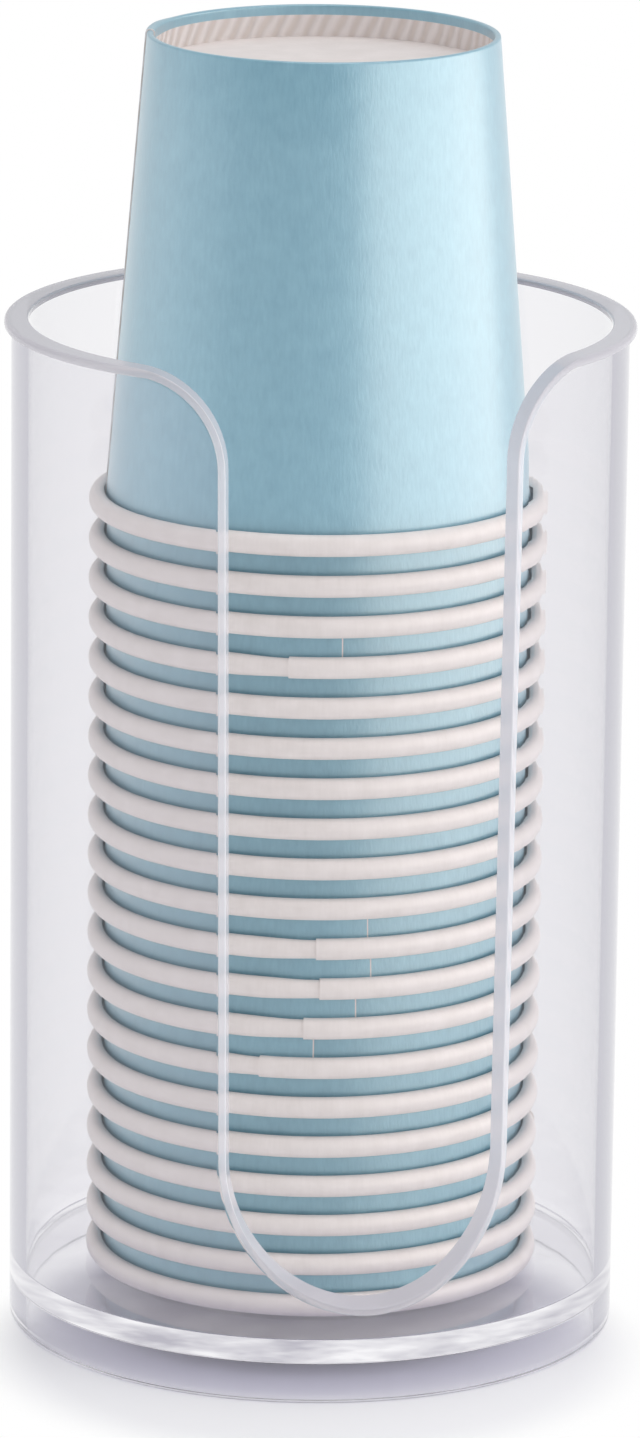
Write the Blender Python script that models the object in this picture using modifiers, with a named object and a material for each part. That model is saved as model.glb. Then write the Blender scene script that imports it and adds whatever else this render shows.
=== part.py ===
# Dispenser for paper cups: a clear moulded holder with a finger slot down its front,
# and the stack of nested paper cups that stands upside down inside it.
# Units are metres and +Z is up. The slot faces -Y, and the origin is at the centre of the foot.
import math

import bmesh
import bpy

# Counts
CUP_COUNT = 20
CUP_SEGMENTS = 18
HOLDER_SEGMENTS = 56
CURL_STEPS = 7
FILLET_STEPS = 2
SILL_STEPS = 14
CORNER_STEPS = 6

# Cup
CUP_HEIGHT = 0.0609
RIM_RADIUS = 0.0291
CURL_HEIGHT = 0.0026
CURL_REACH = 0.0020
WALL_DRAFT_DEG = 4.6936
PAPER_THICKNESS = 0.0002
BASE_BOARD_THICKNESS = 0.0002
HEM_DEPTH = 0.0031
HEM_CLEARANCE = 0.0001
NEST_CLEARANCE = 0.000225
BASE_STOP_CLEARANCE = 0.0003
CURL_START_DEG = 180
CURL_END_DEG = 510

# Holder
HOLDER_HEIGHT = 0.1310
WALL_THICKNESS = 0.00215
STACK_CLEARANCE = 0.00775
LIP_REACH = 0.0009
LIP_THICKNESS = 0.00105
LIP_EDGE_RADIUS = 0.0004
FOOT_DEPTH = 0.0049
FOOT_EDGE_RADIUS = 0.0005
FLOOR_THICKNESS = 0.00295
FLOOR_FILLET = 0.0008
SEAT_CLEARANCE = 0.0003

# Finger slot, measured where its sides meet the inner face of the wall
SLOT_HALF_WIDTH = 0.01785
SLOT_SILL_HEIGHT = 0.0136
SLOT_CORNER_RADIUS = 0.0120
SLOT_DRAFT_DEG = 0.55
SLOT_FLARE_DEG = 17.6
SLOT_START_SHARE = 0.25

# Modelling
CUT_OVERRUN = 0.002
MERGE_DISTANCE = 0.00001
SHARP_ANGLE_DEG = 28

# Sizes that follow from the ones above
MOUTH_RADIUS = RIM_RADIUS - CURL_REACH
WALL_SLOPE = math.tan(math.radians(WALL_DRAFT_DEG))
HEM_GROOVE = BASE_BOARD_THICKNESS + 2 * HEM_CLEARANCE
WEDGE_PITCH = (PAPER_THICKNESS + NEST_CLEARANCE) / WALL_SLOPE
BASE_STOP_PITCH = HEM_DEPTH + HEM_CLEARANCE + BASE_BOARD_THICKNESS + BASE_STOP_CLEARANCE
STACK_PITCH = max(WEDGE_PITCH, BASE_STOP_PITCH)
INNER_RADIUS = RIM_RADIUS + STACK_CLEARANCE
OUTER_RADIUS = INNER_RADIUS + WALL_THICKNESS
LIP_RADIUS = OUTER_RADIUS + LIP_REACH
FLOOR_TOP = FOOT_DEPTH + FLOOR_THICKNESS
STACK_SEAT = FLOOR_TOP + SEAT_CLEARANCE
STACK_TOP = STACK_SEAT + (CUP_COUNT - 1) * STACK_PITCH + CUP_HEIGHT


def arc(centre_r, centre_z, radius, start_deg, end_deg, steps):
    """Points on a round edge, from one angle to another, both ends included."""
    points = []
    for step in range(steps + 1):
        angle = math.radians(start_deg + (end_deg - start_deg) * step / steps)
        points.append((centre_r + radius * math.cos(angle), centre_z + radius * math.sin(angle)))
    return points


def clear_scene():
    for item in list(bpy.data.objects):
        bpy.data.objects.remove(item)


def new_collection(name):
    collection = bpy.data.collections.new(name)
    bpy.context.scene.collection.children.link(collection)
    return collection


def new_material(name, colour, roughness, transmission=0.0, ior=1.5):
    material = bpy.data.materials.new(name)
    material.use_nodes = True
    shader = material.node_tree.nodes["Principled BSDF"]
    shader.inputs["Base Color"].default_value = (*colour, 1.0)
    shader.inputs["Roughness"].default_value = roughness
    shader.inputs["Metallic"].default_value = 0.0
    shader.inputs["Transmission Weight"].default_value = transmission
    shader.inputs["IOR"].default_value = ior
    material.diffuse_color = (*colour, 1.0)
    return material


def turned_mesh(name, points, closed, segments):
    """Turn a profile of (radius, height) points about Z, and keep the result as a mesh."""
    count = len(points)
    edges = [(index, index + 1) for index in range(count - 1)]
    if closed:
        edges.append((count - 1, 0))
    profile = bpy.data.meshes.new(name + "_profile")
    profile.from_pydata([(radius, 0, height) for radius, height in points], edges, [])
    guide = bpy.data.objects.new(name + "_guide", profile)
    bpy.context.scene.collection.objects.link(guide)
    turn = guide.modifiers.new("turn", "SCREW")
    turn.axis = "Z"
    turn.angle = math.tau
    turn.steps = segments
    turn.render_steps = segments
    turn.use_smooth_shade = True
    turn.use_merge_vertices = True
    turn.merge_threshold = MERGE_DISTANCE
    depsgraph = bpy.context.evaluated_depsgraph_get()
    mesh = bpy.data.meshes.new_from_object(guide.evaluated_get(depsgraph))
    mesh.name = name
    mesh.shade_smooth()
    mesh.set_sharp_from_angle(angle=math.radians(SHARP_ANGLE_DEG))
    bpy.data.objects.remove(guide)
    bpy.data.meshes.remove(profile)
    return mesh


def place(name, mesh, collection, material=None, parent=None):
    item = bpy.data.objects.new(name, mesh)
    collection.objects.link(item)
    if material is not None and not mesh.materials:
        mesh.materials.append(material)
    item.parent = parent
    return item


def place_empty(name, collection, height, parent=None):
    empty = bpy.data.objects.new(name, None)
    empty.empty_display_size = RIM_RADIUS
    empty.location.z = height
    empty.parent = parent
    collection.objects.link(empty)
    return empty


def as_cutter(item):
    item.hide_render = True
    item.display_type = "WIRE"
    return item


def add_boolean(item, name, operation, other):
    boolean = item.modifiers.new(name, "BOOLEAN")
    boolean.operation = operation
    boolean.solver = "EXACT"
    boolean.object = other


# Cup, standing on its mouth with its base up

def wall_radius(height):
    """Outer radius of the cup's tapered wall at a height above its mouth."""
    return MOUTH_RADIUS - WALL_SLOPE * height


def curl_points():
    """The rolled rim, from the wall's outer face round to its inner face."""
    half_height = CURL_HEIGHT / 2
    inner_radius = wall_radius(half_height) - PAPER_THICKNESS
    half_width = (RIM_RADIUS - inner_radius) / 2
    centre = RIM_RADIUS - half_width
    points = []
    for across, up in arc(0, 0, 1, CURL_END_DEG, CURL_START_DEG, CURL_STEPS):
        points.append((centre + half_width * across, half_height + half_height * up))
    return points


def cup_wall_profile():
    """Tapered wall with its rolled rim, and its far edge folded in to hold the base."""
    fold_height = CUP_HEIGHT - PAPER_THICKNESS
    hem_end = CUP_HEIGHT - HEM_DEPTH
    groove_offset = PAPER_THICKNESS + HEM_GROOVE
    hem_offset = groove_offset + PAPER_THICKNESS
    points = [(wall_radius(CUP_HEIGHT), CUP_HEIGHT)]
    points += curl_points()
    points.append((wall_radius(fold_height) - PAPER_THICKNESS, fold_height))
    points.append((wall_radius(fold_height) - groove_offset, fold_height))
    points.append((wall_radius(hem_end) - groove_offset, hem_end))
    points.append((wall_radius(hem_end) - hem_offset, hem_end))
    points.append((wall_radius(CUP_HEIGHT) - hem_offset, CUP_HEIGHT))
    return points


def cup_bottom_profile():
    """Base disc with the skirt that stands in the fold of the wall."""
    disc_top = CUP_HEIGHT - HEM_DEPTH - HEM_CLEARANCE
    disc_under = disc_top - BASE_BOARD_THICKNESS
    skirt_top = CUP_HEIGHT - PAPER_THICKNESS - HEM_CLEARANCE
    outer_offset = PAPER_THICKNESS + HEM_CLEARANCE
    inner_offset = outer_offset + BASE_BOARD_THICKNESS
    return [
        (0, disc_top),
        (wall_radius(disc_top) - inner_offset, disc_top),
        (wall_radius(skirt_top) - inner_offset, skirt_top),
        (wall_radius(skirt_top) - outer_offset, skirt_top),
        (wall_radius(disc_under) - outer_offset, disc_under),
        (0, disc_under),
    ]


def make_cups(collection, parent, blue_paper, white_paper):
    """Each cup hangs from an empty on the stack's axis, one stacking pitch above the last."""
    wall_mesh = turned_mesh("cup_wall", cup_wall_profile(), True, CUP_SEGMENTS)
    bottom_mesh = turned_mesh("cup_bottom", cup_bottom_profile(), False, CUP_SEGMENTS)
    seat = parent
    height = STACK_SEAT
    for number in range(1, CUP_COUNT + 1):
        name = f"cup_{number:02d}"
        seat = place_empty(name + "_seat", collection, height, seat)
        place(name + "_wall", wall_mesh, collection, blue_paper, seat)
        place(name + "_bottom", bottom_mesh, collection, white_paper, seat)
        height = STACK_PITCH


# Holder

def holder_profile():
    """Floor, wall, out-turned lip and foot of the holder, before its slot is cut."""
    lip_under = HOLDER_HEIGHT - LIP_THICKNESS
    lip_edge_height = HOLDER_HEIGHT - LIP_EDGE_RADIUS
    points = [(0, FLOOR_TOP)]
    points += arc(INNER_RADIUS - FLOOR_FILLET, FLOOR_TOP + FLOOR_FILLET, FLOOR_FILLET, -90, 0, FILLET_STEPS)
    points.append((INNER_RADIUS, HOLDER_HEIGHT))
    points += arc(LIP_RADIUS - LIP_EDGE_RADIUS, lip_edge_height, LIP_EDGE_RADIUS, 90, 0, FILLET_STEPS)
    points.append((LIP_RADIUS, lip_under))
    points.append((OUTER_RADIUS, lip_under))
    points += arc(OUTER_RADIUS - FOOT_EDGE_RADIUS, FOOT_EDGE_RADIUS, FOOT_EDGE_RADIUS, 0, -90, FILLET_STEPS)
    points.append((INNER_RADIUS, 0))
    points += arc(INNER_RADIUS - FLOOR_FILLET, FOOT_DEPTH - FLOOR_FILLET, FLOOR_FILLET, 0, 90, FILLET_STEPS)
    points.append((0, FOOT_DEPTH))
    return points


def slot_half_width(depth, margin):
    """Half width of the slot just above its sill, on the plane that lies at a depth towards -Y."""
    flare = math.tan(math.radians(SLOT_FLARE_DEG))
    return SLOT_HALF_WIDTH + margin + (depth - INNER_RADIUS) * flare


def slot_outline(depth, margin):
    """Outline (x, z) of the slot at a depth: a round sill, drafted sides and corners that run
    out into the lip. A margin makes the outline larger by the same width all round."""
    half_width = slot_half_width(depth, margin)
    sill_centre = SLOT_SILL_HEIGHT + SLOT_HALF_WIDTH
    corner_radius = SLOT_CORNER_RADIUS - margin
    corner_height = HOLDER_HEIGHT - margin - corner_radius
    spread = (corner_height - sill_centre) * math.tan(math.radians(SLOT_DRAFT_DEG))
    corner_centre = half_width + spread + corner_radius
    right = arc(0, sill_centre, half_width, -90, 0, SILL_STEPS)
    right += arc(corner_centre, corner_height, corner_radius, 180, 90, CORNER_STEPS)
    right.append((corner_centre, HOLDER_HEIGHT + CUT_OVERRUN))
    left = [(-across, height) for across, height in reversed(right[1:])]
    return right + left


def slot_block(name, margin, collection):
    """A block in the slot's shape that widens from inside the holder to outside its wall."""
    near_depth = INNER_RADIUS * SLOT_START_SHARE
    far_depth = LIP_RADIUS + CUT_OVERRUN
    block = bmesh.new()
    rings = []
    for depth in (near_depth, far_depth):
        outline = slot_outline(depth, margin)
        corners = [block.verts.new((across, -depth, height)) for across, height in outline]
        ring = [block.edges.new((corners[index - 1], corners[index])) for index in range(len(corners))]
        bmesh.ops.contextual_create(block, geom=ring)
        rings += ring
    bmesh.ops.bridge_loops(block, edges=rings)
    bmesh.ops.recalc_face_normals(block, faces=block.faces)
    mesh = bpy.data.meshes.new(name)
    block.to_mesh(mesh)
    block.free()
    return as_cutter(place(name, mesh, collection))


def flange_profile():
    """Tube that the slot's raised edge is cut from, from under the sill up into the lip."""
    low = SLOT_SILL_HEIGHT - LIP_THICKNESS - LIP_REACH - WALL_THICKNESS - CUT_OVERRUN
    high = HOLDER_HEIGHT - LIP_THICKNESS / 2
    inside = OUTER_RADIUS - WALL_THICKNESS / 2
    return [(inside, high), (LIP_RADIUS, high), (LIP_RADIUS, low), (inside, low)]


def make_holder(collection, cutters, parent, plastic):
    """Turned body, joined by the raised edge that follows the slot, then cut by the slot."""
    flange_mesh = turned_mesh("slot_flange", flange_profile(), True, HOLDER_SEGMENTS)
    flange = as_cutter(place("slot_flange", flange_mesh, cutters))
    add_boolean(flange, "trim", "INTERSECT", slot_block("flange_block", LIP_THICKNESS, cutters))
    holder_mesh = turned_mesh("holder", holder_profile(), False, HOLDER_SEGMENTS)
    holder = place("holder", holder_mesh, collection, plastic, parent)
    add_boolean(holder, "flange", "UNION", flange)
    add_boolean(holder, "slot", "DIFFERENCE", slot_block("slot_cutter", 0, cutters))


def main():
    clear_scene()
    parts = new_collection("cup_dispenser")
    cutters = new_collection("cutters")
    plastic = new_material("clear_plastic", (0.93, 0.93, 0.96), 0.05, transmission=1.0, ior=1.49)
    blue_paper = new_material("blue_paper", (0.39, 0.60, 0.68), 0.55)
    white_paper = new_material("white_paper", (0.88, 0.86, 0.84), 0.6)
    root = place_empty("cup_dispenser_root", parts, 0)
    make_holder(parts, cutters, root, plastic)
    make_cups(parts, root, blue_paper, white_paper)
    print(f"stacking pitch {STACK_PITCH:.6f} m, top of the stack {STACK_TOP:.6f} m")


main()
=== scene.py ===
# Clear cup dispenser with its stack of paper cups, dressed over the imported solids
import math

import bpy
from mathutils import Matrix, Vector


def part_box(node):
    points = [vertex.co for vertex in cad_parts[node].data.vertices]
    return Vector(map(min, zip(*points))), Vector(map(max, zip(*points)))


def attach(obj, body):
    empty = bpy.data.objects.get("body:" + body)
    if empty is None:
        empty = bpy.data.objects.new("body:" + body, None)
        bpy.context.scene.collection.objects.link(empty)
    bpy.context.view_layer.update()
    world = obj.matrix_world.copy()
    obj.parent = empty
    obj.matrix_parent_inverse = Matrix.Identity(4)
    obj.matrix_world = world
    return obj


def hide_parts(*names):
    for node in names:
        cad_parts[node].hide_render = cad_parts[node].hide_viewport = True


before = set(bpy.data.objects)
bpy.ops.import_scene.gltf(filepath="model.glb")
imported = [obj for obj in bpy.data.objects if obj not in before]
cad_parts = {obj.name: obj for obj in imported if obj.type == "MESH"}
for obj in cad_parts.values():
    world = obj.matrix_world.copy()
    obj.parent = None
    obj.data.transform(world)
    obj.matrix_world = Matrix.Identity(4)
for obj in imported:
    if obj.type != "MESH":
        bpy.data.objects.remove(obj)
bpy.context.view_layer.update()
print("solids loaded:", len(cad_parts), "nodes")

# Places and sizes that the solids already fix
holderLow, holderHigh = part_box("holder")
cupLow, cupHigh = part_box("cup_01_wall")
cupCount = sum(name.endswith("_wall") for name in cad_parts)
cupSeat = cupLow.z
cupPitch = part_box("cup_02_wall")[0].z - cupSeat
cupHeight = cupHigh.z - cupSeat
rimRadius = cupHigh.x
lipRadius = holderHigh.x
holderHeight = holderHigh.z


# Modelling helpers

mergeDistance = 0.000002


def makeActive(piece):
    bpy.ops.object.select_all(action="DESELECT")
    piece.select_set(True)
    bpy.context.view_layer.objects.active = piece


def drawLine(name, points):
    # one vertex is extruded from point to point, and the piece is left in edit mode
    bpy.ops.object.select_all(action="DESELECT")
    bpy.ops.mesh.primitive_plane_add(size=rimRadius)
    piece = bpy.context.object
    piece.name = name
    bpy.ops.object.mode_set(mode="EDIT")
    bpy.ops.mesh.select_mode(type="VERT")
    bpy.ops.mesh.merge(type="CENTER")
    bpy.ops.transform.translate(value=points[0])
    for start, end in zip(points, points[1:]):
        bpy.ops.mesh.extrude_region_move(TRANSFORM_OT_translate={"value": Vector(end) - Vector(start)})
    bpy.ops.mesh.select_all(action="SELECT")
    return piece


def turnShape(name, profile, steps):
    # a profile of (radius, height) turned once round the upright axis
    piece = drawLine(name, [(radius, 0, height) for radius, height in profile])
    bpy.ops.mesh.spin(steps=steps, angle=math.tau, center=(0, 0, 0), axis=(0, 0, -1))
    bpy.ops.mesh.select_all(action="SELECT")
    bpy.ops.mesh.remove_doubles(threshold=mergeDistance)
    bpy.ops.mesh.normals_make_consistent(inside=False)
    bpy.ops.object.mode_set(mode="OBJECT")
    return piece


def roundedLine(corners, steps):
    # corners are (across, up, radius), and each with a radius becomes an arc
    line = []
    for index, (across, up, radius) in enumerate(corners):
        corner = Vector((across, up))
        if not radius:
            line.append(tuple(corner))
            continue
        before = (Vector(corners[index - 1][:2]) - corner).normalized()
        after = (Vector(corners[index + 1][:2]) - corner).normalized()
        halfAngle = before.angle(after) / 2
        centre = corner + (before + after).normalized() * radius / math.sin(halfAngle)
        start = (corner + before * radius / math.tan(halfAngle) - centre).normalized()
        end = (corner + after * radius / math.tan(halfAngle) - centre).normalized()
        for step in range(steps + 1):
            line.append(tuple(centre + start.slerp(end, step / steps) * radius))
    return line


def combine(piece, tool, operation):
    makeActive(piece)
    boolean = piece.modifiers.new("combine", "BOOLEAN")
    boolean.operation = operation
    boolean.solver = "EXACT"
    boolean.object = tool
    bpy.ops.object.modifier_apply(modifier=boolean.name)
    bpy.data.objects.remove(tool)


def mergeSlivers(piece):
    # what the booleans leave with no length or no area
    makeActive(piece)
    bpy.ops.object.mode_set(mode="EDIT")
    bpy.ops.mesh.select_mode(type="VERT")
    bpy.ops.mesh.select_all(action="SELECT")
    bpy.ops.mesh.remove_doubles(threshold=mergeDistance)
    bpy.ops.mesh.select_all(action="SELECT")
    bpy.ops.mesh.dissolve_degenerate(threshold=mergeDistance)
    bpy.ops.object.mode_set(mode="OBJECT")


def smoothShade(piece, angleDeg):
    makeActive(piece)
    bpy.ops.object.shade_smooth_by_angle(angle=math.radians(angleDeg))


def placeCopy(pattern, name, turn, height):
    # a copy with its own mesh, turned and raised, with its place kept in the mesh
    makeActive(pattern)
    bpy.ops.object.duplicate()
    copy = bpy.context.object
    copy.name = name
    copy.rotation_euler.z = turn
    copy.location.z = height
    bpy.ops.object.transform_apply(location=True, rotation=True, scale=True)
    return copy


# Material helpers

# noise seldom leaves the middle of its scale, so that part is spread over a whole range
noiseMiddle = (0.3, 0.7)


def newMaterial(name):
    material = bpy.data.materials.new(name)
    material.use_nodes = True
    return material, material.node_tree.nodes["Principled BSDF"]


def addNode(material, kind, inputs=None, **settings):
    node = material.node_tree.nodes.new(kind)
    for name, value in settings.items():
        setattr(node, name, value)
    for name, value in (inputs or {}).items():
        node.inputs[name].default_value = value
    return node


def wire(material, source, output, target, socket):
    material.node_tree.links.new(source.outputs[output], target.inputs[socket])


def addNoise(material, coordinates, scale, detail, stretch=(1, 1, 1)):
    # noise on the given coordinates, stretched by a Mapping node
    texture = addNode(material, "ShaderNodeTexCoord")
    mapping = addNode(material, "ShaderNodeMapping", {"Scale": stretch})
    noise = addNode(material, "ShaderNodeTexNoise", {"Scale": scale, "Detail": detail})
    wire(material, texture, coordinates, mapping, "Vector")
    wire(material, mapping, "Vector", noise, "Vector")
    return noise


def addRange(material, source, output, low, high, target, socket):
    start, end = noiseMiddle
    limits = {"From Min": start, "From Max": end, "To Min": low, "To Max": high}
    spread = addNode(material, "ShaderNodeMapRange", limits)
    wire(material, source, output, spread, "Value")
    wire(material, spread, "Result", target, socket)


def addTint(material, source, output, dark, light, shader, socket="Base Color"):
    tint = addNode(material, "ShaderNodeMix", data_type="RGBA")
    tint.inputs["A"].default_value = (*dark, 1)
    tint.inputs["B"].default_value = (*light, 1)
    addRange(material, source, output, 0, 1, tint, "Factor")
    wire(material, tint, "Result", shader, socket)


def addBump(material, source, output, distance, strength, shader, under=None):
    bump = addNode(material, "ShaderNodeBump", {"Strength": strength, "Distance": distance})
    wire(material, source, output, bump, "Height")
    if under:
        wire(material, under, "Normal", bump, "Normal")
    wire(material, bump, "Normal", shader, "Normal")
    return bump


# Materials

clearPlasticLook = {
    "tint": (0.93, 0.925, 0.945),
    "shadowTint": (0.92, 0.92, 0.94),
    # painted shade together with the plastic's own lilac tint: light leaving from inside the plastic is darkened,
    # which darkens its edges
    "edgeTintAndShade": (0.52, 0.515, 0.575),
    # painted light: the floor plate's glow, between the dark and light ends of its painted streaks
    "paintedPlateGlow": ((0.5, 0.49, 0.55), (0.96, 0.955, 0.97)),
    "plateShade": (0.76, 0.752, 0.83),
    # painted light and shade: the flange's pale colour up its sides, and the darker colour at the sill and the lip
    "flange": (0.92, 0.91, 0.95),
    "lip": (0.64, 0.62, 0.66),
    "mouldedClear": 0.25,
    "mouldedRoughness": (0.08, 0.2),
    "ior": 1.5,
    "roughness": (0.01, 0.04),
    "flowScale": 55,
    "flowDetail": 2,
    "flowStretch": (1, 1, 0.35),
    "flowDepth": 0.00012,
    "flowStrength": 0.25,
    "streakScale": 165,
    "streakDetail": 3,
}

bluePaperLook = {
    "dark": (0.172, 0.39, 0.507),
    "light": (0.232, 0.476, 0.59),
    "roughness": (0.34, 0.42),
    "gloss": 1,
    "coat": 1,
    "coatIor": 1.75,
    "mottleScale": 420,
    "mottleDetail": 3,
    "streakStretch": (1700, 480, 1),
    "streakDetail": 3,
    "streak": 0.5,
    "fibreStretch": (2600, 700, 1),
    "fibreDetail": 4,
    "fibreStrength": 0.6,
    "fibreDepth": 0.00009,
}

whitePaperLook = {
    "dark": (0.78, 0.715, 0.69),
    "light": (0.85, 0.785, 0.765),
    "roughness": (0.42, 0.52),
    "gloss": 0.5,
    "coat": 0,
    "coatIor": 1.5,
    "mottleScale": 420,
    "mottleDetail": 3,
    "streakStretch": (2300, 260, 1),
    "streakDetail": 3,
    "streak": 0.3,
    "fibreStretch": (2600, 2600, 1),
    "fibreDetail": 4,
    "fibreStrength": 0.6,
    "fibreDepth": 0.00003,
}

pleatLook = {
    "count": 68,
    "slantShare": 0.55,
    "paintedCreaseShade": (0.72, 0.64, 0.6),
    "creaseRange": (0, 0.7),
    "waver": 1.8,
    "waverDetail": 1,
    "depth": 0.00025,
}


def addPaintedFlangeShade(material, look, shader):
    # painted light and shade: the slot's flange is coloured pale up its sides and darker towards the sill and the
    # lip
    place = addNode(material, "ShaderNodeTexCoord")
    split = addNode(material, "ShaderNodeSeparateXYZ")
    corner = holderHeight - slot["cornerRadius"]
    bend = slot["sillHeight"] + slot["halfWidth"]
    rise = addNode(material, "ShaderNodeMapRange", {"From Min": corner, "From Max": holderHeight})
    sink = addNode(material, "ShaderNodeMapRange", {"From Min": bend, "From Max": slot["sillHeight"]})
    ends = addNode(material, "ShaderNodeMath", operation="MAXIMUM")
    moulded = addNode(material, "ShaderNodeMix", data_type="RGBA")
    moulded.inputs["A"].default_value = (*look["flange"], 1)
    moulded.inputs["B"].default_value = (*look["lip"], 1)
    wire(material, place, "Object", split, "Vector")
    wire(material, split, "Z", rise, "Value")
    wire(material, split, "Z", sink, "Value")
    wire(material, rise, "Result", ends, 0)
    wire(material, sink, "Result", ends, 1)
    wire(material, ends, "Value", moulded, "Factor")
    wire(material, moulded, "Result", shader, "Base Color")


def makeClearPlastic(name, kind="wall"):
    # the same plastic for the wall, for its moulded edges, which are less clear and carry painted shade, and for
    # the floor plate, which glows with painted light
    look = clearPlasticLook
    edge = kind == "edge"
    material, shader = newMaterial(name)
    shader.inputs["Base Color"].default_value = (*look["tint"], 1)
    shader.inputs["Transmission Weight"].default_value = look["mouldedClear"] if edge else 1
    if edge:
        addPaintedFlangeShade(material, look, shader)
    shader.inputs["IOR"].default_value = look["ior"]
    flow = addNoise(material, "Object", look["flowScale"], look["flowDetail"], look["flowStretch"])
    addRange(material, flow, "Fac", *look["mouldedRoughness" if edge else "roughness"], shader, "Roughness")
    addBump(material, flow, "Fac", look["flowDepth"], look["flowStrength"], shader)
    # light that the plastic has turned back once leaves it at the next face, and an odd count of
    # refractions tells that it comes from inside the plastic
    rays = addNode(material, "ShaderNodeLightPath")
    clear = addNode(material, "ShaderNodeBsdfTransparent", {"Color": (*look["shadowTint"], 1)})
    away = addNode(material, "ShaderNodeBsdfTransparent")
    if kind == "plate":
        away.inputs["Color"].default_value = (*look["plateShade"], 1)
    else:
        # painted shade: light that leaves from inside the plastic is darkened, together with the plastic's lilac
        # tint
        inside = addNode(material, "ShaderNodeMath", {1: 2}, operation="MODULO")
        passed = addNode(material, "ShaderNodeMix", data_type="RGBA")
        passed.inputs["A"].default_value = (1, 1, 1, 1)
        passed.inputs["B"].default_value = (*look["edgeTintAndShade"], 1)
        wire(material, rays, "Transmission Depth", inside, 0)
        wire(material, inside, "Value", passed, "Factor")
        wire(material, passed, "Result", away, "Color")
    leaving = addNode(material, "ShaderNodeMixShader")
    wire(material, rays, "Is Reflection Ray", leaving, 0)
    wire(material, shader, "BSDF", leaving, 1)
    wire(material, away, "BSDF", leaving, 2)
    if kind == "plate":
        # or, in the floor plate, it is painted light: the plate glows as an emission with painted streaks, as if
        # light were led in from its edge, and the plate shades what it stands over
        clear.inputs["Color"].default_value = (*look["plateShade"], 1)
        glow = addNode(material, "ShaderNodeEmission")
        streaks = addNoise(material, "Object", look["streakScale"], look["streakDetail"], look["flowStretch"])
        addTint(material, streaks, "Fac", *look["paintedPlateGlow"], glow, "Color")
        led = addNode(material, "ShaderNodeMixShader")
        wire(material, rays, "Is Diffuse Ray", led, 0)
        wire(material, glow, "Emission", led, 1)
        wire(material, away, "BSDF", led, 2)
        wire(material, led, "Shader", leaving, 2)
    lit = addNode(material, "ShaderNodeMixShader")
    wire(material, rays, "Is Shadow Ray", lit, 0)
    wire(material, leaving, "Shader", lit, 1)
    wire(material, clear, "BSDF", lit, 2)
    wire(material, lit, "Shader", material.node_tree.nodes["Material Output"], "Surface")
    return material


def makePaper(name, look):
    material, shader = newMaterial(name)
    mottle = addNoise(material, "Object", look["mottleScale"], look["mottleDetail"])
    streak = addNoise(material, "UV", 1, look["streakDetail"], look["streakStretch"])
    grain = addNode(material, "ShaderNodeMix", {"Factor": look["streak"]})
    wire(material, mottle, "Fac", grain, "A")
    wire(material, streak, "Fac", grain, "B")
    addTint(material, grain, "Result", look["dark"], look["light"], shader)
    addRange(material, grain, "Result", *look["roughness"], shader, "Roughness")
    shader.inputs["Specular IOR Level"].default_value = look["gloss"]
    shader.inputs["Coat Weight"].default_value = look["coat"]
    shader.inputs["Coat Roughness"].default_value = look["roughness"][0]
    shader.inputs["Coat IOR"].default_value = look["coatIor"]
    fibre = addNoise(material, "UV", 1, look["fibreDetail"], look["fibreStretch"])
    bump = addBump(material, fibre, "Fac", look["fibreDepth"], look["fibreStrength"], shader)
    return material, shader, bump


def makePleatedPaper():
    # the hem's unprinted edge, gathered into slanting pleats as it is rolled in, with painted shade in the creases
    # between pleats
    look = pleatLook
    material, shader, bump = makePaper("pleatedPaper", whitePaperLook)
    texture = addNode(material, "ShaderNodeTexCoord")
    perMetre = look["count"] / unrolledLength()
    slant = addNode(material, "ShaderNodeMapping", {"Scale": (perMetre, perMetre * look["slantShare"], 1)})
    # at this scale a diagonal wave repeats once for each unit of its coordinates
    pleats = addNode(material, "ShaderNodeTexWave", {"Scale": math.tau / 10}, bands_direction="DIAGONAL")
    pleats.inputs["Distortion"].default_value = look["waver"]
    pleats.inputs["Detail"].default_value = look["waverDetail"]
    wire(material, texture, "UV", slant, "Vector")
    wire(material, slant, "Vector", pleats, "Vector")
    low, high = look["creaseRange"]
    paintedCreaseShade = addNode(material, "ShaderNodeMapRange", {"From Min": low, "From Max": high})
    wire(material, pleats, "Fac", paintedCreaseShade, "Value")
    # painted shade: the pleats' creases are coloured darker
    tint = addNode(material, "ShaderNodeMix", data_type="RGBA")
    tint.inputs["A"].default_value = (*look["paintedCreaseShade"], 1)
    tint.inputs["B"].default_value = (*whitePaperLook["light"], 1)
    wire(material, paintedCreaseShade, "Result", tint, "Factor")
    wire(material, tint, "Result", shader, "Base Color")
    addBump(material, pleats, "Fac", look["depth"], 1, shader, bump)
    return material


# Cup, drawn mouth down with the plane of its mouth at height 0

cup = {
    "curlReach": 0.0020,
    "curlHeight": 0.00275,
    "baseRadius": 0.0221,
    "sheet": 0.0002,
    "hemDepth": 0.0043,
    "hemShift": 0.0008,
    "printEdge": 0.0015,
    "foldRadius": 0.0003,
    "baseShift": 0.0005,
    "baseRise": 0.0002,
    "baseCorner": 0.0005,
    "skirtGap": 0.0003,
    "overlapDeg": 14,
    "rampDeg": 16,
    "layerGap": 0.000205,
    "columns": 150,
    "cutEdge": 0.00015,
    "cutShare": 0.997,
    "curlSteps": 26,
    "curlStartDeg": 180,
    "curlEndDeg": 488,
    "cornerSteps": 5,
    "baseSteps": 96,
    "straightShares": (0.8, 0.5, 0.2),
    "smoothDeg": 40,
}
# degrees from the slot to each cup's side seam, lowest cup first, five of them in view through the slot
seamDegrees = (128, 215, 163, 98, 241, 186, -10.2, 1.0, 5.0, 4.0, 152, 229, 107, 196, 141, 252, -3.7, 174, 119, 259)


def unrolledLength():
    return math.tau * (rimRadius - cup["curlReach"])


def wallRadius(height):
    mouth = rimRadius - cup["curlReach"]
    return mouth - (mouth - cup["baseRadius"]) * height / cupHeight


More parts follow.
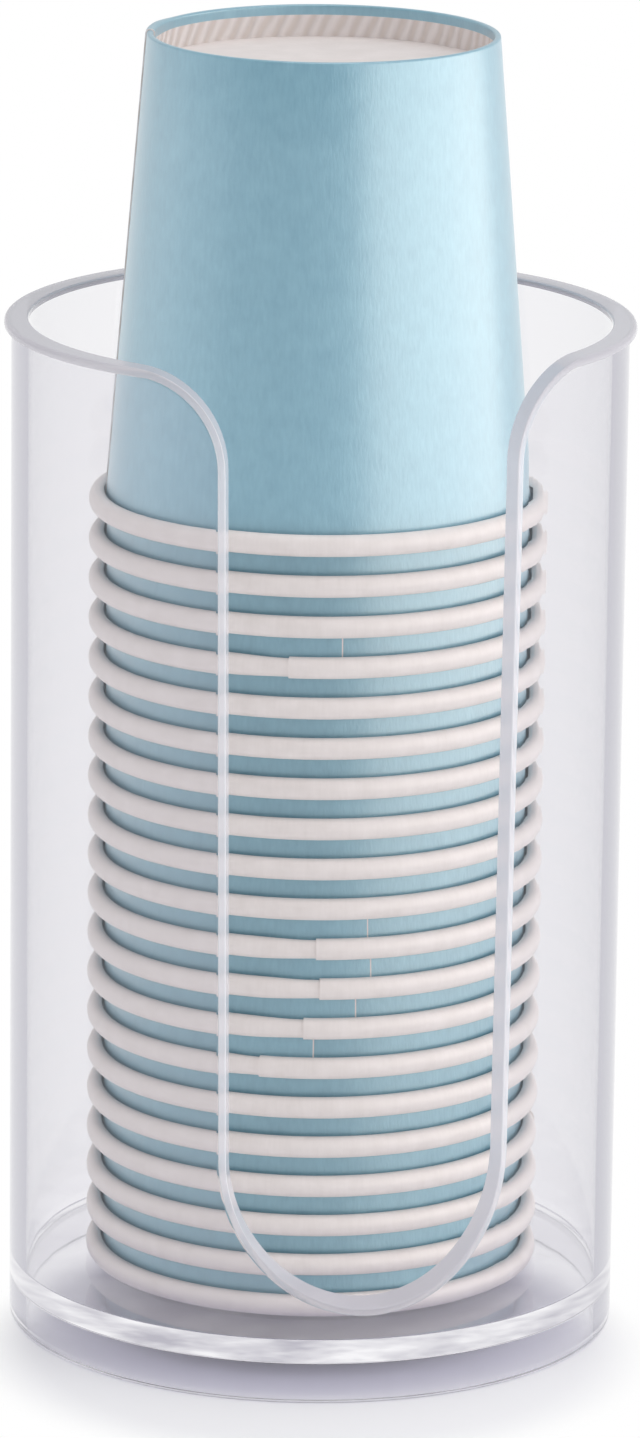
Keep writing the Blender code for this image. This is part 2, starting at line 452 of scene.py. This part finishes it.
def curlLine():
    # the printed face, which ends up inside the roll, so its ellipse is a sheet smaller all round
    halfHeight = cup["curlHeight"] / 2
    inner = wallRadius(halfHeight) - cup["sheet"]
    centre = (rimRadius + inner) / 2
    halfWidth = (rimRadius - inner) / 2 - cup["sheet"]
    line = []
    for step in range(cup["curlSteps"] + 1):
        share = step / cup["curlSteps"]
        angle = math.radians(cup["curlStartDeg"] + (cup["curlEndDeg"] - cup["curlStartDeg"]) * share)
        across = centre + halfWidth * math.cos(angle)
        line.append((across, halfHeight + (halfHeight - cup["sheet"]) * math.sin(angle)))
    return line


def wallLine():
    # the printed face of the sheet, from the hem's edge over the fold and down to the rolled rim
    hemEnd = cupHeight - cup["hemDepth"]
    printEnd = cupHeight - cup["printEdge"]
    foldTop = cupHeight - cup["layerGap"]
    corners = [
        (wallRadius(hemEnd) - cup["hemShift"], hemEnd, 0),
        (wallRadius(printEnd) - cup["hemShift"], printEnd, 0),
        (wallRadius(foldTop) - cup["hemShift"], foldTop, cup["foldRadius"]),
        (wallRadius(foldTop), foldTop, cup["foldRadius"]),
    ]
    corners += [(wallRadius(cupHeight * share), cupHeight * share, 0) for share in cup["straightShares"]]
    return roundedLine(corners, cup["cornerSteps"]) + curlLine()


def lineNormals(line):
    normals = []
    for index in range(len(line)):
        start = Vector(line[max(index - 1, 0)])
        end = Vector(line[min(index + 1, len(line) - 1)])
        along = (end - start).normalized()
        normals.append(Vector((-along.y, along.x)))
    return normals


def addWallMap(mesh, turns, lengths):
    # a map in metres of paper: across is the way round, up is the way along the sheet
    for old in list(mesh.uv_layers):
        mesh.uv_layers.remove(old)
    layer = mesh.uv_layers.new(name="paper")
    for loop in mesh.loops:
        layer.data[loop.index].uv = (turns[loop.vertex_index], lengths[loop.vertex_index])


def makeCupWall(bluePaper, whitePaper, pleatedPaper):
    line = wallLine()
    normals = lineNormals(line)
    piece = drawLine("cupWall", [(radius, 0, height) for radius, height in line])
    sweep = math.radians(360 + cup["overlapDeg"])
    bpy.ops.mesh.spin(steps=cup["columns"], angle=sweep, center=(0, 0, 0), axis=(0, 0, -1))
    bpy.ops.object.mode_set(mode="OBJECT")
    mesh = piece.data
    first = [Vector((vertex.co.x, vertex.co.z)) for vertex in mesh.vertices[:len(line)]]
    order = [min(range(len(line)), key=lambda place: (Vector(line[place]) - point).length) for point in first]
    reach = [0]
    for start, end in zip(line, line[1:]):
        reach.append(reach[-1] + (Vector(end) - Vector(start)).length)
    turns = []
    lengths = []
    for vertex in mesh.vertices:
        column, place = divmod(vertex.index, len(line))
        turn = sweep * column / cup["columns"]
        if column == cup["columns"] - 1:
            # the last column moves up to the sheet's cut edge
            along = sweep - cup["cutEdge"] / cup["baseRadius"] - turn
            vertex.co.rotate(Matrix.Rotation(along, 3, "Z"))
            turn += along
        # the second layer of the side seam rises over the first
        rise = min(max((math.degrees(turn) - 360) / cup["rampDeg"] + 1, 0), 1)
        shift = normals[order[place]] * cup["layerGap"] * rise * rise * (3 - 2 * rise)
        vertex.co += Vector((math.cos(turn) * shift.x, math.sin(turn) * shift.x, shift.y))
        turns.append(turn * (rimRadius - cup["curlReach"]))
        lengths.append(reach[order[place]])
    addWallMap(mesh, turns, lengths)
    for material in (bluePaper, whitePaper, pleatedPaper):
        mesh.materials.append(material)
    printEnd = reach[1]
    for face in mesh.polygons:
        middle = sum(lengths[index] for index in face.vertices) / len(face.vertices)
        face.material_index = 2 if middle < printEnd else 0
        if min(turns[index] for index in face.vertices) > turns[-1] * cup["cutShare"]:
            face.material_index = 1
    outward = sum(face.area * face.normal.xy.dot(face.center.xy) for face in mesh.polygons)
    if outward < 0:
        mesh.flip_normals()
    makeActive(piece)
    solid = piece.modifiers.new("paper", "SOLIDIFY")
    solid.thickness = cup["sheet"]
    solid.offset = -1
    solid.material_offset = 1
    solid.material_offset_rim = 1
    bpy.ops.object.modifier_apply(modifier=solid.name)
    smoothShade(piece, cup["smoothDeg"])
    return piece


def makeCupBase(whitePaper):
    # the base's outer face and its skirt, which stands in the fold
    floorHeight = cupHeight - cup["hemDepth"]
    skirtTop = cupHeight - cup["skirtGap"]
    corners = [
        (0, floorHeight + cup["baseRise"], 0),
        (cup["baseRadius"] / 2, floorHeight + cup["baseRise"] / 2, 0),
        (wallRadius(floorHeight) - cup["baseShift"], floorHeight - cup["sheet"] / 2, cup["baseCorner"]),
        (wallRadius(skirtTop) - cup["baseShift"], skirtTop, 0),
    ]
    profile = roundedLine(corners, cup["cornerSteps"])
    piece = turnShape("cupBase", profile, cup["baseSteps"])
    mesh = piece.data
    if sum(face.normal.z for face in mesh.polygons) < 0:
        mesh.flip_normals()
    turns = [math.atan2(vertex.co.y, vertex.co.x) * cup["baseRadius"] for vertex in mesh.vertices]
    lengths = [math.hypot(vertex.co.x, vertex.co.y) + vertex.co.z for vertex in mesh.vertices]
    addWallMap(mesh, turns, lengths)
    mesh.materials.append(whitePaper)
    makeActive(piece)
    solid = piece.modifiers.new("paper", "SOLIDIFY")
    solid.thickness = cup["sheet"]
    solid.offset = -1
    bpy.ops.object.modifier_apply(modifier=solid.name)
    smoothShade(piece, cup["smoothDeg"])
    return piece


def makeCups(bluePaper, whitePaper, pleatedPaper):
    wall = makeCupWall(bluePaper, whitePaper, pleatedPaper)
    base = makeCupBase(whitePaper)
    cups = []
    for number in range(1, cupCount + 1):
        body = f"cup_{number:02d}"
        height = cupSeat + (number - 1) * cupPitch
        # the sheet starts at the far side of the overlap, and 0 degrees of turn lies along +X
        turn = math.radians(seamDegrees[number - 1] - cup["overlapDeg"] - 90)
        for pattern, name, node, slot in (
            (wall, f"cupWall{number:02d}", body + "_wall", "blue_paper"),
            (base, f"cupBase{number:02d}", body + "_bottom", "white_paper"),
        ):
            piece = placeCopy(pattern, name, turn, height)
            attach(piece, body)
            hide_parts(node)
            cups.append(piece)
    bpy.data.objects.remove(wall)
    bpy.data.objects.remove(base)
    return cups


# Holder

holder = {
    "wall": 0.00215,
    "lipReach": 0.0009,
    "lipThickness": 0.00105,
    "lipTopRadius": 0.0006,
    "lipEdgeRadius": 0.0002,
    "mouthRadius": 0.00025,
    "footDepth": 0.0049,
    "floorThickness": 0.00295,
    "floorFillet": 0.0002,
    "footRadius": 0.0005,
    "gateRadius": 0.0013,
    "gateDepth": 0.0004,
    "levelShare": 0.99,
    "sideShare": 0.6,
    "segments": 256,
    "cornerSteps": 5,
    "smoothDeg": 30,
    "flatWeight": 100,
}

slot = {
    "halfWidth": 0.01785,
    "sillHeight": 0.0136,
    "cornerRadius": 0.012,
    "draftDeg": 0.55,
    "flareDeg": 17.6,
    "edgeRadius": 0.00025,
    "beadRadius": 0.00045,
    "footFillet": 0.0004,
    "overrun": 0.002,
    "clearance": 0.00001,
    "startShare": 0.25,
    "sideMargin": 0.0008,
    "attempts": 14,
    "sillSteps": 40,
    "cornerSteps": 16,
    "easedDegrees": (12, 38, 64, 90),
    "filletDegrees": (10, 40, 65, 90),
    "beadDegrees": (0, 25, 50, 78),
}


def boreRadius():
    return lipRadius - holder["lipReach"] - holder["wall"]


def slotPoint(form, reach, margin, part, share):
    # a point of the slot's outline, on the plane at a depth or on the cylinder of a radius
    flare = math.tan(math.radians(slot["flareDeg"]))
    draft = math.tan(math.radians(slot["draftDeg"]))
    corner = slot["cornerRadius"] - margin
    cornerHeight = holderHeight - slot["cornerRadius"] + slot["clearance"]
    sillCentre = slot["sillHeight"] + slot["halfWidth"]
    depth = reach
    # on a cylinder the width and the depth need each other, so they are worked out in turns
    for attempt in range(slot["attempts"]):
        halfWidth = slot["halfWidth"] + margin + (depth - boreRadius()) * flare
        cornerCentre = halfWidth + (cornerHeight - sillCentre) * draft + corner
        if part == "sill":
            across = halfWidth * math.sin(share * math.pi / 2)
            height = sillCentre - halfWidth * math.cos(share * math.pi / 2)
        elif part == "corner":
            across = cornerCentre - corner * math.cos(share * math.pi / 2)
            height = cornerHeight + corner * math.sin(share * math.pi / 2)
        else:
            across = cornerCentre
            height = holderHeight + slot["overrun"]
        if form == "round":
            depth = math.sqrt(reach * reach - across * across)
    return Vector((across, -depth, height))


def slotRing(form, reach, margin):
    places = [("sill", step / slot["sillSteps"]) for step in range(slot["sillSteps"] + 1)]
    places += [("corner", step / slot["cornerSteps"]) for step in range(slot["cornerSteps"] + 1)]
    places.append(("top", 1))
    right = [slotPoint(form, reach, margin, part, share) for part, share in places]
    left = [Vector((-point.x, point.y, point.z)) for point in right[:0:-1]]
    return left + right


def slotBlock(name, rings):
    # outlines from inside the holder outwards, closed at both ends and bridged one to the next
    outlines = []
    for place, ring in enumerate(rings):
        outlines.append(drawLine(name, slotRing(*ring)))
        bpy.ops.mesh.edge_face_add()
        if 0 < place < len(rings) - 1:
            bpy.ops.mesh.delete(type="ONLY_FACE")
        bpy.ops.object.mode_set(mode="OBJECT")
    bpy.ops.object.select_all(action="DESELECT")
    for outline in outlines:
        outline.select_set(True)
    bpy.context.view_layer.objects.active = outlines[0]
    bpy.ops.object.join()
    block = bpy.context.object
    perRing = len(block.data.vertices) // len(rings)
    for first in range(len(rings) - 1):
        bridgeRings(block, first * perRing, (first + 2) * perRing)
    bpy.ops.object.mode_set(mode="EDIT")
    bpy.ops.mesh.select_all(action="SELECT")
    bpy.ops.mesh.normals_make_consistent(inside=False)
    bpy.ops.object.mode_set(mode="OBJECT")
    return block


def bridgeRings(block, low, high):
    # bridges the two neighbouring outlines whose vertices lie between two indices
    bpy.ops.object.mode_set(mode="EDIT")
    bpy.ops.mesh.select_mode(type="EDGE")
    bpy.ops.mesh.select_all(action="DESELECT")
    bpy.ops.object.mode_set(mode="OBJECT")
    middle = (low + high) // 2
    for edge in block.data.edges:
        ends = tuple(edge.vertices)
        edge.select = all(low <= end < middle for end in ends) or all(middle <= end < high for end in ends)
    bpy.ops.object.mode_set(mode="EDIT")
    bpy.ops.mesh.bridge_edge_loops()
    bpy.ops.object.mode_set(mode="OBJECT")


def easedSteps(radius, margin, size, degrees, outwards):
    # rings round an eased edge: the block is widest where it leaves the wall's face
    rings = []
    for angle in degrees:
        turn = math.radians(angle)
        reach = radius + outwards * size * (1 - math.cos(turn))
        rings.append(("round", reach, margin + size * (1 - math.sin(turn))))
    return rings


def flangeRings(outside):
    # the flange's own side face, with a fillet at its foot and an eased outer edge
    size = slot["beadRadius"]
    fillet = slot["footFillet"]
    margin = holder["lipThickness"]
    start = boreRadius() * slot["startShare"]
    rings = [("flat", start, margin + fillet), ("round", outside - fillet, margin + fillet)]
    rings += easedSteps(outside, margin, fillet, slot["filletDegrees"], 1)
    for angle in slot["beadDegrees"]:
        turn = math.radians(angle)
        rings.append(("round", lipRadius - size * (1 - math.sin(turn)), margin - size * (1 - math.cos(turn))))
    rings.append(("flat", lipRadius + slot["overrun"], margin - size))
    return rings


def slotRings():
    size = slot["edgeRadius"]
    wide = slot["sideMargin"]
    rings = [("flat", boreRadius() * slot["startShare"], wide), ("round", boreRadius() - size / 2, wide)]
    rings += easedSteps(boreRadius(), 0, size, slot["easedDegrees"], 1)
    rings += easedSteps(lipRadius, 0, size, slot["easedDegrees"][::-1], -1)
    rings += [("round", lipRadius + size / 2, wide), ("flat", lipRadius + slot["overrun"], wide)]
    return rings


def makeHolder(clearPlastic, edgePlastic, platePlastic):
    bore = boreRadius()
    outside = bore + holder["wall"]
    lipUnder = holderHeight - holder["lipThickness"]
    floorTop = holder["footDepth"] + holder["floorThickness"]
    gateTop = holder["footDepth"] - holder["gateDepth"]
    corners = [
        (0, floorTop, 0),
        (bore, floorTop, holder["floorFillet"]),
        (bore, holderHeight, holder["mouthRadius"]),
        (lipRadius, holderHeight, holder["lipTopRadius"]),
        (lipRadius, lipUnder, holder["lipEdgeRadius"]),
        (outside, lipUnder, holder["lipEdgeRadius"]),
        (outside, 0, holder["footRadius"]),
        (bore, 0, holder["lipEdgeRadius"]),
        (bore, holder["footDepth"], holder["floorFillet"]),
        (holder["gateRadius"], holder["footDepth"], 0),
        (holder["gateRadius"] / 2, gateTop, holder["lipEdgeRadius"]),
        (0, gateTop, 0),
    ]
    body = turnShape("holderBody", roundedLine(corners, holder["cornerSteps"]), holder["segments"])

    # the thin flange that carries the lip on round the slot
    high = holderHeight - holder["lipThickness"] / 2
    low = holder["footDepth"]
    inside = outside - holder["wall"] / 2
    reach = lipRadius - slot["clearance"]
    tubeLine = [(inside, high), (inside, low), (reach, low), (reach, high), (inside, high)]
    tube = turnShape("flange", tubeLine, holder["segments"])
    combine(tube, slotBlock("flangeBlock", flangeRings(outside)), "INTERSECT")
    combine(body, tube, "UNION")
    print("holder: flange joined")

    # the slot itself, with its edges eased inside and outside
    combine(body, slotBlock("slotBlock", slotRings()), "DIFFERENCE")
    mergeSlivers(body)
    print("holder: slot cut")
    body.data.materials.clear()
    for material in (clearPlastic, edgePlastic, platePlastic):
        body.data.materials.append(material)
    for face in body.data.polygons:
        away = face.center.xy.length
        facing = abs(face.normal.xy.dot(face.center.xy.normalized()))
        cut = facing < holder["sideShare"] and away > bore and face.center.z > floorTop
        # painted light: the foot's bottom faces take the plate's glow as a bright streaky line, as do the plate's
        # level faces
        foot = face.center.z < holder["lipEdgeRadius"]
        if cut or away > outside + slot["footFillet"] / 2 or face.center.z > lipUnder:
            face.material_index = 1
        elif foot or abs(face.normal.z) > holder["levelShare"] and away < bore - holder["floorFillet"]:
            face.material_index = 2
    smoothShade(body, holder["smoothDeg"])
    makeActive(body)
    weighted = body.modifiers.new("weighted", "WEIGHTED_NORMAL")
    weighted.keep_sharp = True
    weighted.weight = holder["flatWeight"]
    bpy.ops.object.modifier_apply(modifier=weighted.name)
    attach(body, "holder")
    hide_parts("holder")


# Camera, lights and floor

view = {
    "distance": 1.00534,
    "height": 0.33711,
    "aroundDeg": 10.6,
    "yawDeg": 0.027,
    "pitchDeg": 14.4165,
    "rollDeg": 0.661,
    "lens": 203.6,
    "sensor": 36,
    "farEnd": 20,
}


def makeCamera():
    around = math.radians(view["aroundDeg"])
    yaw = math.radians(view["yawDeg"])
    pitch = math.radians(view["pitchDeg"])
    roll = math.radians(view["rollDeg"])
    place = Vector((-math.sin(around), -math.cos(around), 0)) * view["distance"]
    place.z = view["height"]
    heading = Vector((math.sin(around + yaw), math.cos(around + yaw), 0))
    forward = heading * math.cos(pitch) - Vector((0, 0, math.sin(pitch)))
    level = forward.cross(Vector((0, 0, 1))).normalized()
    up = level.cross(forward)
    right = level * math.cos(roll) + up * math.sin(roll)
    up = right.cross(forward)
    bpy.ops.object.camera_add()
    camera = bpy.context.object
    camera.name = "photoCamera"
    turn = Matrix((right, up, -forward)).transposed()
    camera.matrix_world = Matrix.LocRotScale(place, turn, None)
    camera.data.lens = view["lens"]
    camera.data.sensor_width = view["sensor"]
    camera.data.clip_end = view["farEnd"]
    bpy.context.scene.camera = camera


white = (1, 1, 1)
warm = (1, 0.92, 0.83)
# each lamp is a soft panel aimed at the middle of the object: its place, size, power, colour, and whether it
# gives matt light and reflections
lamps = {
    "rightPanel": ((0.75, -0.3, 0.35), (0.5, 0.8), 1.85, white, True, False),
    "leftPanel": ((-0.8, -0.3, 0.35), (0.3, 0.8), 0.2, white, True, False),
    "topPanel": ((0.4, -0.6, 4.0), (3.2, 3.2), 46.4, white, True, True),
    "rightGloss": ((0.355, -0.19, 0.1), (0.86, 0.5), 3.2, warm, False, True),
    "leftGloss": ((-0.4, 0.06, 0.1), (0.42, 0.5), 0.22, white, False, True),
}


def makeLamps(cups):
    # the gloss panels light the paper alone, so that the plastic keeps clear of them
    paper = bpy.data.collections.new("paper")
    for piece in cups:
        paper.objects.link(piece)
    middle = Vector((0, 0, holderHeight / 2))
    for name, (place, size, power, colour, matt, gloss) in lamps.items():
        bpy.ops.object.light_add(type="AREA", location=place)
        light = bpy.context.object
        light.name = name
        light.data.shape = "RECTANGLE"
        light.data.size, light.data.size_y = size
        light.data.energy = power
        light.data.color = colour
        light.rotation_euler = (middle - Vector(place)).to_track_quat("-Z", "Y").to_euler()
        light.visible_diffuse = matt
        light.visible_transmission = matt
        light.visible_glossy = gloss
        if not matt:
            light.light_linking.receiver_collection = paper


studio = {
    "ambient": (0.93, 0.94, 0.96),
    "strength": 0.7,
    "reflectedShares": (0, 0.75),
}


def makeWorld():
    # white where the camera or the plastic looks through to it, and reflections see more of it towards the back
    world = bpy.data.worlds.new("studio")
    bpy.context.scene.world = world
    world.use_nodes = True
    shade = world.node_tree.nodes["Background"]
    shade.inputs["Color"].default_value = (*studio["ambient"], 1)
    bright = addNode(world, "ShaderNodeBackground", {"Color": (1, 1, 1, 1)})
    rays = addNode(world, "ShaderNodeLightPath")
    way = addNode(world, "ShaderNodeTexCoord")
    around = math.radians(view["aroundDeg"])
    back = (math.sin(around), math.cos(around), 0)
    towards = addNode(world, "ShaderNodeVectorMath", {1: back}, operation="DOT_PRODUCT")
    wire(world, way, "Generated", towards, 0)
    low, high = studio["reflectedShares"]
    share = addNode(world, "ShaderNodeMapRange", {"From Min": -1, "From Max": 1, "To Min": low, "To Max": high})
    wire(world, towards, "Value", share, "Value")
    mirrored = addNode(world, "ShaderNodeMath", operation="MULTIPLY")
    wire(world, share, "Result", mirrored, 0)
    wire(world, rays, "Is Glossy Ray", mirrored, 1)
    strength = studio["strength"]
    matt = addNode(world, "ShaderNodeMath", {1: -strength, 2: strength}, operation="MULTIPLY_ADD")
    wire(world, rays, "Is Glossy Ray", matt, 0)
    wire(world, matt, "Value", shade, "Strength")
    seen = addNode(world, "ShaderNodeMath", operation="MAXIMUM")
    wire(world, rays, "Is Camera Ray", seen, 0)
    wire(world, rays, "Is Transmission Ray", seen, 1)
    whole = addNode(world, "ShaderNodeMath", operation="MAXIMUM")
    wire(world, seen, "Value", whole, 0)
    wire(world, mirrored, "Value", whole, 1)
    mix = addNode(world, "ShaderNodeMixShader")
    wire(world, whole, "Value", mix, 0)
    wire(world, shade, "Background", mix, 1)
    wire(world, bright, "Background", mix, 2)
    wire(world, mix, "Shader", world.node_tree.nodes["World Output"], "Surface")


floorLook = {
    "colour": (0.93, 0.925, 0.94),
    "roughness": 0.9,
    "shadowCentre": (0.003, 0.017, 0),
    "shadowReach": (0.034, 0.0455),
    "size": 12,
}


def makeFloor():
    # pale paper under the object that keeps its shadow, and plain white further out
    bpy.ops.object.select_all(action="DESELECT")
    look = floorLook
    bpy.ops.mesh.primitive_plane_add(size=look["size"])
    floor = bpy.context.object
    floor.name = "floor"
    material, shader = newMaterial("floorPaper")
    shader.inputs["Base Color"].default_value = (*look["colour"], 1)
    shader.inputs["Roughness"].default_value = look["roughness"]
    place = addNode(material, "ShaderNodeTexCoord")
    centred = addNode(material, "ShaderNodeMapping", {"Location": look["shadowCentre"]})
    distance = addNode(material, "ShaderNodeVectorMath", operation="LENGTH")
    wire(material, place, "Object", centred, "Vector")
    wire(material, centred, "Vector", distance, "Vector")
    near, away = look["shadowReach"]
    far = addNode(material, "ShaderNodeMapRange", {"From Min": near, "From Max": away})
    far.interpolation_type = "SMOOTHSTEP"
    wire(material, distance, "Value", far, "Value")
    rays = addNode(material, "ShaderNodeLightPath")
    seen = addNode(material, "ShaderNodeMath", operation="MAXIMUM")
    wire(material, rays, "Is Camera Ray", seen, 0)
    wire(material, rays, "Is Transmission Ray", seen, 1)
    mirrored = addNode(material, "ShaderNodeMath", operation="MAXIMUM")
    wire(material, seen, "Value", mirrored, 0)
    wire(material, rays, "Is Glossy Ray", mirrored, 1)
    share = addNode(material, "ShaderNodeMath", operation="MULTIPLY")
    wire(material, far, "Result", share, 0)
    wire(material, mirrored, "Value", share, 1)
    bright = addNode(material, "ShaderNodeEmission", {"Color": (1, 1, 1, 1), "Strength": 1})
    mix = addNode(material, "ShaderNodeMixShader")
    wire(material, share, "Value", mix, 0)
    wire(material, shader, "BSDF", mix, 1)
    wire(material, bright, "Emission", mix, 2)
    wire(material, mix, "Shader", material.node_tree.nodes["Material Output"], "Surface")
    floor.data.materials.append(material)


clearPlastic = makeClearPlastic("clearPlastic")
edgePlastic = makeClearPlastic("edgePlastic", "edge")
platePlastic = makeClearPlastic("platePlastic", "plate")
bluePaper = makePaper("bluePaper", bluePaperLook)[0]
whitePaper = makePaper("whitePaper", whitePaperLook)[0]
pleatedPaper = makePleatedPaper()
print("materials made")
makeHolder(clearPlastic, edgePlastic, platePlastic)
print("holder made")
cups = makeCups(bluePaper, whitePaper, pleatedPaper)
print("cups made:", cupCount)
makeCamera()
makeLamps(cups)
makeWorld()
makeFloor()
bpy.context.scene.view_settings.view_transform = "Standard"
print("camera, lamps and floor set")
